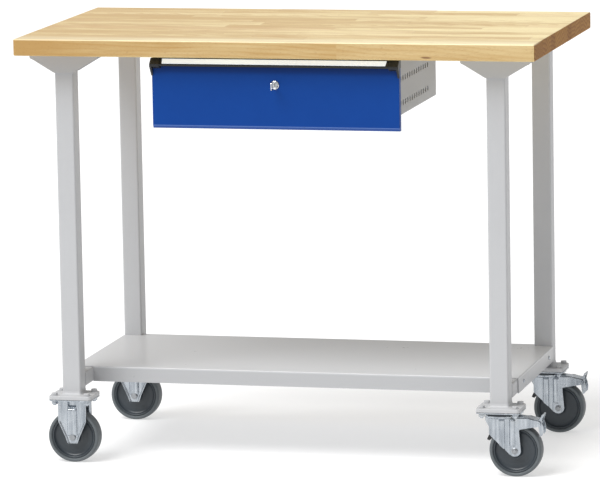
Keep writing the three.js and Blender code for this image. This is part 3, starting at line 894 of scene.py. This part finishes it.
for corner in ("front_right", "back_right"):
    node = f"swivel_fork_{corner}"
    middle, centre = middle_of(f"axle_{corner}"), middle_of(f"swivel_plate_{corner}")
    fork_top = 77.5
    left_edge = [(-8, -12), (38, -60.5), (82, -60.5)]
    right_edge = [(0, 14.8), (50, 10.5), (52, 13), (60, 61.5), (71, 61.5), (fork_top, 30)]

    def left_of(z):
        return -tip_half(z, 2) if z < -8 else softly(left_edge, z, 6)

    def right_of(z):
        return tip_half(z, 2) if z < 0 else softly(right_edge, z, 4)

    def swivel_relief(x, z):
        front_rib = 3.4 * plateau(x + 30, 3.6, 3.6) * plateau(z - 36, 36, 5)
        rear_rib = 3.4 * plateau(x + 5, 3.6, 3.6) * plateau(z - 44, 28, 5)
        front_hem = 1.6 * (1 - plateau(x - 40, 98, 3)) * plateau(z - 62, 24, 4)
        return front_rib + rear_rib + front_hem

    levels = spread(-13, -8, 6) + spread(-8, 49, 34)[1:] + spread(49, 62, 26)[1:]
    levels += spread(62, fork_top, 12)[1:]
    across = spread(-60.5, 16, 76) + spread(16, 61.5, 20)[1:]
    sides = [cheek(side, middle, left_of, right_of, levels, swivel_relief, across) for side in (-1, 1)]

    # The nose: a wall bent round the front, wider towards the ball race.
    nose_rows = []
    for z in spread(40, fork_top, 18):
        front = 25.5 + 11 * plateau(z - fork_top, 4, 26)
        row = []
        for angle in spread(math.pi / 2, 3 * math.pi / 2, 32):
            ahead = 14 + (front - 14) * abs(math.cos(angle)) ** 0.62
            row.append((centre.x - ahead * MM, centre.y + CHEEK * math.sin(angle) * MM, middle.z + z * MM))
        nose_rows.append(row)
    nose = thickened(grid(nose_rows), FORK_SHEET)
    dish = [(6.2, 138.2), (24, 138.2), (31, 138.6), (35.5, 139.8), (37.6, 141.8), (38, 144.5),
            (37.4, 146.2), (36.2, 146.7), (30, 146.7), (26, 145.4), (6.2, 145.4)]
    nut = [(0, 131), (5.2, 131), (6, 131.8), (6, 133), (9.5, 133.2), (9.5, 138.4), (0, 138.4)]
    pin = [(0, 138), (5.8, 138), (5.8, 152.8), (5, 153.4), (0, 153.4)]
    crown = joined(on_swivel(dish, corner), on_swivel(nut, corner, 40), on_swivel(pin, corner, 40))
    piece(f"fork_{corner}", joined(crown, nose, *sides), f"castor_fork_{corner}",
          ZINC, [node])


# ---- Brake pedals and shoes ----
# A pressed rocker across the ends of the fork's arms. Pushing its lower lip presses a plastic shoe
# on the front of the tread through a rod inside the fork, and its upper lip lets go again.
def moulded_black(wire, place):
    grain = wire.cloud(place, 700.0, 2.0, 0.5)
    cloud = wire.cloud(place, 14.0, 3.0)
    return {"Base Color": wire.mixed(cloud, tint("17181a"), tint("232427")),
            "Roughness": 0.46 + 0.12 * (cloud - 0.5),
            "Normal": wire.bump(grain, 0.00006, 0.6)}


BLACK = finish_of("black_moulding", moulded_black)
SIDEWAYS = Matrix.Rotation(math.pi / 2, 4, "X")


def ribbon(points, half, centre, steps, crown=0.0):
    """A strip along a path of (x, z), as wide as half to each side, crowned, in millimetres."""
    return grid([[centre + Vector((x - crown * t * t, half * t, z)) * MM for x, z in points]
                 for t in spread(-1, 1, steps)])


def bars(outline, starts, ease):
    """Bars of an outline in (x, z), each 2 mm thick along Y."""
    return [eased(extruded(outline, y, y + 2 * MM, "Y"), ease, 2, angle=50) for y in starts]


def smooth_path(points, steps=6):
    """A Catmull-Rom curve through a few points."""
    ends = [points[0], *points, points[-1]]
    path = []
    for a, b, c, d in zip(ends, ends[1:], ends[2:], ends[3:]):
        for i in range(steps):
            t = i / steps
            path.append(tuple(0.5 * (2 * q + (r - p) * t + (2 * p - 5 * q + 4 * r - s) * t * t
                                     + (3 * q - p - 3 * r + s) * t ** 3)
                              for p, q, r, s in zip(a, b, c, d)))
    return [*path, points[-1]]


for corner in ("front_right", "back_right"):
    node = f"brake_pedal_{corner}"
    low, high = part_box(node)
    pivot = Vector((low.x + 5 * MM, (low.y + high.y) / 2, low.z + 31 * MM))
    lobe = [(-4, 4), (1, 5), (7.6, 21.5), (10.6, 20.6), (6, 4), (9, -4), (10.6, -14), (10, -25), (6, -30),
            (2, -27), (0, -16), (-1.5, -6), (-5, -4)]
    outline = rounded_outline([(pivot.x + x * MM, pivot.z + z * MM) for x, z in lobe], 1.6 * MM, 4)
    flanges = bars(outline, (pivot.y - 17 * MM, pivot.y + 15 * MM), 0.4 * MM)
    lip = smooth_path([(9.5, 21), (7, 16), (3, 9), (0, 3), (1, -4), (5, -12), (6.5, -20), (6, -26),
                       (2, -30)])
    strip = thickened(ribbon(lip, 16.5, pivot, 14, crown=1.2), 2 * MM)
    hinge = pivot - Vector((0.6 * MM, 0, 0))
    eye = moved(turned([(3.1, -16.5), (5, -16.5), (5, 16.5), (3.1, 16.5)], 24), hinge, SIDEWAYS)
    piece(f"pedal_{corner}", joined(strip, eye, *flanges), f"pedal_{corner}", ZINC, [node])

    node = f"brake_shoe_{corner}"
    shoe = eased(cad_copy(node), 1.0 * MM, 2)
    piece(f"shoe_{corner}", shoe, f"shoe_{corner}", BLACK, [node])

    # The lever over the wheel is a channel between the arms. A black bar in each lip is painted shade,
    # standing in for the dark of a slot there.
    middle = middle_of(f"axle_{corner}")
    band = smooth_path([(-16, 80.3), (0, 80), (14, 79.2), (28, 77.6), (44, 75), (54, 73)])
    cover = ribbon(band, 15, middle, 10)
    lips = []
    for side in (-1, 1):
        edge = [middle + Vector((x, side * 15, z)) * MM for x, z in band]
        low = [point + Vector((0, side * 0.6, -5.5)) * MM for point in edge]
        lips.append(thickened(grid([edge, low]), 1.6 * MM))
    pin = [(0, -25), (2.6, -25), (2.9, -24.4), (2.9, 24.4), (2.6, 25), (0, 25)]
    pin = moved(turned(pin, 24), hinge, SIDEWAYS)
    piece(f"brake_lever_{corner}", joined(thickened(cover, 1.8 * MM), pin, *lips),
          f"castor_fork_{corner}", ZINC)
    # Black bars in the lips: painted shade in place of slots.
    centre = (middle.x + 38 * MM, middle.z + 73.6 * MM)
    slot = rounded_outline(rectangle(15 * MM, 2.8 * MM, centre), 1.3 * MM, 5)
    slot_shade_bars = bars(slot, (middle.y - 17.2 * MM, middle.y + 15.2 * MM), 0.3 * MM)
    piece(f"lever_buffers_{corner}", joined(*slot_shade_bars), f"castor_fork_{corner}", BLACK)


# ---- Wheels ----
# A dished core of dark moulded plastic with a solid grey rubber tyre on it, 125 mm across and
# 36 mm wide. Each wheel turns on a bolt through its fork.
def tyre_rubber(wire, place):
    cloud = wire.cloud(place, 22.0, 4.0, 0.6)
    dust = wire.cloud(place, 160.0, 3.0, 0.6)
    return {"Base Color": wire.mixed(cloud * 0.7 + dust * 0.3, tint("4b5256"), tint("666b6e")),
            "Roughness": 0.52 + 0.16 * (cloud - 0.5),
            "Normal": wire.bump(dust, 0.0001, 0.4)}


def core_plastic(wire, place):
    cloud = wire.cloud(place, 16.0, 3.0, 0.5)
    grain = wire.cloud(place, 420.0, 2.0, 0.5)
    return {"Base Color": wire.mixed(cloud, tint("2c3237"), tint("3d444a")),
            "Roughness": 0.36 + 0.14 * (cloud - 0.5),
            "Normal": wire.bump(grain, 0.00006, 0.5)}


RUBBER = finish_of("grey_tyre_rubber", tyre_rubber, IOR=1.5)
CORE = finish_of("dark_wheel_core", core_plastic, IOR=1.5)

tread_low, tread_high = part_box("tyre_front_left")
RADIUS = (tread_high.z - tread_low.z) / 2 / MM


def mirrored(profile):
    """A wheel's section from the (radius, y) of its +Y half, from the outside to the bore."""
    return profile + [(r, -y) for r, y in reversed(profile)]


def shoulder(radius, half, turn, steps=5):
    """Points from the tread round to the sidewall, turned with a radius."""
    return [(radius - turn + turn * math.cos(a), half - turn + turn * math.sin(a))
            for a in spread(0, math.pi / 2, steps)]


tyre_half = [(RADIUS, 0), (RADIUS - 0.05, 6), *shoulder(RADIUS - 0.5, 18, 4.5),
             (56.4, 18), (55, 17.6), (54, 16.4), (53, 14.2)]
core_half = [(52.9, 0), (52.9, 14.6), (52, 15.4), (50.4, 15.4), (49.2, 14.6), (48, 11.5), (46, 9),
             (42.5, 7.6), (34, 6.9), (33, 7.4), (32, 6.9), (22, 7.2), (18, 8.6), (15.6, 12), (14.6, 17),
             (13.6, 19), (12, 19.5), (6.3, 19.5)]


def on_axle(work, corner):
    return moved(work, middle_of(f"axle_{corner}"), SIDEWAYS)


for corner in CORNERS:
    wheel = f"wheel_{corner}"
    tread = on_axle(turned(mirrored(tyre_half), 96), corner)
    piece(f"tread_{corner}", tread, wheel, RUBBER, [f"tyre_{corner}"], sharp=50)
    hub = on_axle(turned(mirrored(core_half), 96), corner)
    piece(f"core_{corner}", hub, wheel, CORE, [f"wheel_core_{corner}"])


# ---- Axles ----
# A steel bolt through the hub and both cheeks, with a nut over a washer at one end. Its head is a
# hexagon on the fixed castors and a stepped round cap on the swivel castors.
def plain_steel(wire, place):
    mottle = wire.cloud(place, 60.0, 3.0)
    lines = wire.cloud(place, 1.0, 3.0, 0.6, stretch=(900, 120, 900))
    return {"Base Color": wire.mixed(mottle, tint("8f9296"), tint("b4b7ba")),
            "Roughness": 0.36 + 0.16 * (lines - 0.5),
            "Normal": wire.bump(lines, 0.00005, 0.3)}


STEEL = finish_of("plain_steel", plain_steel, Metallic=0.95)

for corner in CORNERS:
    fixed = corner.endswith("left")
    shank = turned([(0, -24), (5.9, -24), (5.9, 24), (0, 24)], 32)
    nut = joined(washer(8.8, -24.4, -23.4), hexagon(13, -28.2, -24.4))
    if fixed:
        bolt_cap = joined(washer(8.8, 23.4, 24.4), hexagon(13, 24.4, 28.2))
    else:
        bolt_cap = turned([(0, 23.4), (7.6, 23.4), (7.8, 23.9), (7, 24.6), (5, 25), (4.6, 26.2),
                           (3.8, 26.9), (0, 27)], 40)
    axle = on_axle(joined(shank, bolt_cap, nut), corner)
    body = "bench_frame" if fixed else f"castor_fork_{corner}"
    piece(f"axle_bolt_{corner}", axle, body, STEEL, [f"axle_{corner}"])


# ---- Drawer housing ----
# Two slotted side panels of sheet steel, folded in along the top and the bottom, with a back panel
# and a front tie bar between them. The slots are punched with round ends, in two rows.
SLOTS = {"count": 13, "pitch": 24 * MM, "first": -286 * MM, "width": 10 * MM, "height": 14 * MM}


def punching_tree():
    """Cuts slots through a panel, one on each point of two level rows."""
    nodes = Nodes("punched_rows", Panel="Geometry", Punch="Object", Count="Int", First="Vector",
                  Step="Vector", Row="Vector", Finish="Material")
    given = nodes.given
    upper = nodes.add("GeometryNodeMeshLine", {
        "Count": given["Count"], "Start Location": given["First"], "Offset": given["Step"]}, mode="OFFSET")
    lower = nodes.add("GeometryNodeTransform", {"Geometry": upper[0], "Translation": given["Row"]})
    rows = nodes.add("GeometryNodeJoinGeometry", {0: [upper[0], lower[0]]})
    punch = nodes.add("GeometryNodeObjectInfo", {"Object": given["Punch"]})
    copies = nodes.add("GeometryNodeInstanceOnPoints", {"Points": rows[0], "Instance": punch["Geometry"]})
    real = nodes.add("GeometryNodeRealizeInstances", {0: copies[0]})
    cut = nodes.add("GeometryNodeMeshBoolean", {"Mesh 1": given["Panel"], "Mesh 2": real[0]},
                    operation="DIFFERENCE", solver="EXACT")
    return nodes.ended(cut[0])


# A darker copy of the frame's grey coat: painted shade on the housing.
def housing_coat_painted_shade(wire, place):
    return orange_peel(wire, place, tint("97989a"), tint("9d9ea0"))


HOUSING_SHADED_GREY = finish_of("housing_powder_coat_painted_shade", housing_coat_painted_shade, IOR=1.45)
PUNCHED = punching_tree()
SHEET = 1.5 * MM

for side, name in ((-1, "left"), (1, "right")):
    node = f"housing_side_{name}"
    low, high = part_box(node)
    wide, narrow = 21 * MM, 12.5 * MM
    outer = high.x if side > 0 else -low.x
    section = [(outer - narrow, low.z), (outer, low.z), (outer, high.z), (outer - wide, high.z),
               (outer - wide, high.z - SHEET), (outer - SHEET, high.z - SHEET),
               (outer - SHEET, low.z + SHEET), (outer - narrow, low.z + SHEET)]
    radii = [0, 2.4 * MM, 2.4 * MM, 0, 0, 0.9 * MM, 0.9 * MM, 0]
    profile = rounded_outline([(side * x, z) for x, z in section], radii, 4)
    panel = extruded(profile, low.y, high.y, "Y")
    slot_outline = rounded_outline(rectangle(SLOTS["width"], SLOTS["height"]), 0.4999 * SLOTS["width"])
    punch = extruded(slot_outline, -6 * MM, 6 * MM, "X")
    values = {"Punch": item(f"slot_punch_{name}", punch), "Count": SLOTS["count"],
              "First": (side * (outer - SHEET / 2), SLOTS["first"], high.z - 51 * MM),
              "Step": (0, SLOTS["pitch"], 0), "Row": (0, 0, -57 * MM), "Finish": HOUSING_SHADED_GREY}
    made = with_nodes(f"housing_panel_{name}", meshed(node, panel), PUNCHED, values,
                      "bench_frame", [node])
    made.data.shade_smooth()
    made.data.set_sharp_from_angle(angle=math.radians(30))

for node, name in (("housing_back", "housing_rear_panel"), ("housing_front_tie", "housing_tie_bar")):
    work = eased(cad_copy(node), 0.4 * MM, 2)
    piece(name, work, "bench_frame", HOUSING_SHADED_GREY, [node])


# ---- Drawer runners ----
# Three steel channels on each side slide in one another on rows of balls. The outer one is fixed
# to the housing, the inner one to the drawer, and the middle one moves half as far as the drawer.
for side in ("left", "right"):
    for member, body in (("outer", "bench_frame"), ("middle", "runner_middles"), ("inner", "drawer")):
        node = f"runner_{member}_{side}"
        piece(f"channel_{member}_{side}", eased(cad_copy(node), 0.35 * MM, 2), body, ZINC, [node])

ball = bmesh.new()
bmesh.ops.create_icosphere(ball, subdivisions=2, radius=1.35 * MM)
BALL_ITEM = item("runner_ball", ball)
ball_spots = []
for side in (-1, 1):
    low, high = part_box("runner_middle_right")
    inner_low, inner_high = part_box("runner_inner_right")
    for z in (inner_high.z + 1.25 * MM, inner_low.z - 1.25 * MM):
        x = side * (low.x + 1.6 * MM)
        ball_spots += [(x, high.y - 25 * MM - i * 7 * MM, z) for i in range(14)]
scattered("runner_balls", ball_spots, BALL_ITEM, "runner_middles", STEEL, seed=6)


# ---- Drawer tray ----
# A folded tray of thin sheet steel, open at the top, with its outer corners rounded. It is
# powder-coated like the frame and hangs between the inner runner channels.
tray = cad_copy("drawer_tray")
tray_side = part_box("drawer_tray")[1].x


def is_upright(edge):
    first, last = (v.co for v in edge.verts)
    return abs((first - last).normalized().z) > 0.9


def outer_corner(edge):
    return is_upright(edge) and all(abs(abs(v.co.x) - tray_side) < 1e-5 for v in edge.verts)


tray = eased(eased(tray, 2 * MM, 4, outer_corner, 60), 0.3 * MM, 2, lambda e: not is_upright(e), 60)
piece("tray_sheet", tray, "drawer", GREY, ["drawer_tray"])


# ---- Drawer front ----
# A shallow steel pan, powder-coated deep blue, bolted to the tray. Its lower edge is folded back at a
# slant, shown as a lighter line of painted light; a painted shadow darkens the coat under the grip.
front_low, front_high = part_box("drawer_front")
LIP = 7 * MM


def blue_coat(wire, place):
    """Blue all over, with a painted shadow close under the grip, painted light on the slanted lip and a
    painted highlight along its fold.
    """
    made = orange_peel(wire, place, tint("073b86"), tint("0a408f"), 0.40)
    z = place.parts()[2]
    rise = z - front_low.z
    # Painted light on the slanted lip and a painted highlight along its fold.
    lip = rise.between(LIP - 0.2 * MM, LIP - 0.8 * MM)
    fold = (rise - LIP).maths("ABSOLUTE").between(1.5 * MM, 0.7 * MM)
    lip_painted_light = wire.mixed(lip, made["Base Color"], tint("34549a"))
    # A painted shadow close under the grip.
    grip_painted_shadow = (front_high.z - z).between(22 * MM, 4 * MM)
    fold_painted_highlight = wire.mixed(fold, lip_painted_light, tint("5470ae"))
    made["Base Color"] = wire.mixed(grip_painted_shadow * 0.75, fold_painted_highlight, tint("062a66"))
    return made


BLUE = finish_of("blue_powder_coat", blue_coat, Specular_IOR_Level=0.14)


def on_face(edge):
    return all(v.co.y < front_low.y + 4 * MM for v in edge.verts) and max(
        abs(v.co.x) for v in edge.verts) > 0.1


front = eased(cad_copy("drawer_front"), 1.6 * MM, 4, on_face, 20)
piece("front_pan", front, "drawer", BLUE, ["drawer_front"])


# ---- Grip, label and caps ----
# A black extruded grip runs along the top of the drawer front, with a card label strip on its
# slanted face. A moulded cap closes each end.
def card(wire, place):
    fibre = wire.cloud(place, 900.0, 3.0, 0.6)
    cloud = wire.cloud(place, 12.0, 2.0)
    return {"Base Color": wire.mixed(0.5 * cloud + 0.5 * fibre, tint("dfe8f4"), tint("e8f0fb")),
            "Roughness": 0.62 + 0.10 * (fibre - 0.5),
            "Normal": wire.bump(fibre, 0.00005, 0.4)}


# The card glows a little and is tinted bluish: painted light that keeps the label white in the shade under
# the worktop.
GLOWING_CARD = finish_of("label_card", card, Emission_Color=tint("f4faff"), Emission_Strength=0.46)
grip = eased(cad_copy("handle_strip"), 0.7 * MM, 3, angle=20)
piece("grip_extrusion", grip, "drawer", BLACK, ["handle_strip"])

label = cad_copy("label_strip")
label_low, label_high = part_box("label_strip")
for vert in label.verts:
    rise = (vert.co.z - label_low.z) / (label_high.z - label_low.z)
    vert.co.x -= math.copysign(1, vert.co.x) * 1.5 * MM * (1 - rise)
piece("label_card", eased(label, 0.15 * MM, 1), "drawer", GLOWING_CARD, ["label_strip"])

for side in ("left", "right"):
    node = f"handle_cap_{side}"
    piece(f"grip_cap_{side}", eased(cad_copy(node), 0.9 * MM, 3, angle=20), "drawer",
          BLACK, [node])


# ---- Lock and key ----
# A chromed cam lock goes through the drawer front, with its key in it. Its zinc-plated cam turns
# up behind the tie bar.
def chrome(wire, place):
    haze = wire.cloud(place, 90.0, 3.0)
    return {"Base Color": wire.mixed(haze, tint("c9cccf"), tint("dddfe1")),
            "Roughness": 0.12 + 0.10 * haze}


CHROME = finish_of("chrome_plate", chrome, Metallic=1.0)
lock_low, lock_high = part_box("lock_body")
LOCK = Vector((0, 0, (lock_low.z + lock_high.z) / 2))
face = lock_low.y


def on_lock(profile, segments):
    """A body turned about the lock's axis, from (radius, depth behind the lock's face)."""
    return moved(turned([(r, -d) for r, d in profile], segments), LOCK + Vector((0, face, 0)), SIDEWAYS)


def near_face(edge):
    return all(v.co.y < face + 1.5 * MM for v in edge.verts)


barrel = on_lock([(7.4, 0.8), (8.2, 0.2), (9.2, 0), (10.2, 0.5), (10.9, 1.7), (11, 3), (9, 3),
                  (9, 32), (7.4, 32)], 56)
piece("lock_barrel", barrel, "drawer", CHROME, ["lock_body"])
plug = eased(cad_copy("lock_cylinder"), 0.35 * MM, 2, near_face)
piece("lock_plug", plug, "lock_plug", CHROME, ["lock_cylinder"])

bow_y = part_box("key")[0].y + 8.5 * MM
bow = rounded_outline(rectangle(17 * MM, 20 * MM, (bow_y, LOCK.z)), 5 * MM)
bow_hole = rounded_outline(rectangle(5 * MM, 9 * MM, (bow_y - 3 * MM, LOCK.z)), 2.2 * MM)
bow = extruded(bow, -1.1 * MM, 1.1 * MM, "X", bow_hole)
blade_outline = [(-332, -3.4), (-300.6, -3.4), (-300.6, 1.2), (-303, 3.4), (-305, 2.2), (-307, 3.4),
                 (-309, 2.0), (-311, 3.4), (-332, 3.4)]
blade = extruded([(y * MM, LOCK.z + z * MM) for y, z in blade_outline], -1.0 * MM, 1.0 * MM, "X")
piece("key_blank", joined(eased(bow, 0.4 * MM, 2, angle=50), eased(blade, 0.2 * MM, 1, angle=50)),
      "lock_plug", CHROME, ["key"])

cam = eased(cad_copy("lock_cam"), 0.5 * MM, 2)
piece("cam_lever", cam, "lock_plug", ZINC, ["lock_cam"])


# ---- Stage, light and camera ----
# A white studio floor under a tent of white cloth, with soft light from high on the left. The
# camera stands far off and has a long lens.
def studio_surface(wire, place):
    speckle = wire.cloud(place, 6.0, 2.0)
    return {"Base Color": wire.mixed(speckle, tint("bcbcbc"), tint("c0c0c0")),
            "Roughness": 0.85 + 0.05 * speckle}


STUDIO = finish_of("studio_floor", studio_surface, Emission_Color=tint("ffffff"), Emission_Strength=0.5)
floor_work = bmesh.new()
bmesh.ops.create_grid(floor_work, x_segments=8, y_segments=8, size=14 * (cad_box[1] - cad_box[0]).length)
floor = shown("studio_floor", meshed("studio_floor", floor_work))
floor.data.materials.append(STUDIO)

# A tent of white cloth, brighter on the left than on the right. The camera looks at plain white.
world = bpy.data.worlds.new("studio")
bpy.context.scene.world = world
world.use_nodes = True
world.node_tree.nodes.clear()
sky = Wire(world.node_tree)
right, away, up = sky.node("TexCoord", out="Generated").parts()
tent = 0.60 - 0.27 * right + 0.12 * away + 0.15 * up
seen = sky.node("LightPath", out="Is Camera Ray")
glow = sky.node("Background", values={"Strength": tent * (1 - seen) + 0.95 * seen})
sky.node("OutputWorld", values={"Surface": glow}, out=None)


def aimed(made, place, target, roll=0.0):
    """Stands an object at a place with its -Z axis at a target."""
    back = (Vector(place) - Vector(target)).normalized()
    turn = back.to_track_quat("Z", "Y").to_matrix().to_4x4()
    made.matrix_world = Matrix.Translation(place) @ turn @ Matrix.Rotation(roll, 4, "Z")


# A broad sky of diffusers from the front left: almost no hard shadow.
lamp = bpy.data.lights.new("key_light", "SUN")
lamp.energy = 2.8
lamp.angle = math.radians(34)
aimed(shown("key_light", lamp), (-0.30, -0.50, 0.81), (0, 0, 0))

lens = bpy.data.cameras.new("camera")
lens.sensor_width = 36.0
lens.lens = 285.5
lens.clip_end = 100.0
camera = shown("camera", lens)
bpy.context.scene.camera = camera
EYE = Vector((2.750, -10.983, 2.274))
yaw, pitch, roll = (math.radians(a) for a in (-14.18, -8.89, -1.01))
forward = Vector((math.sin(yaw) * math.cos(pitch), math.cos(yaw) * math.cos(pitch), math.sin(pitch)))
aimed(camera, EYE, EYE + forward, roll)
bpy.context.scene.view_settings.view_transform = "Standard"
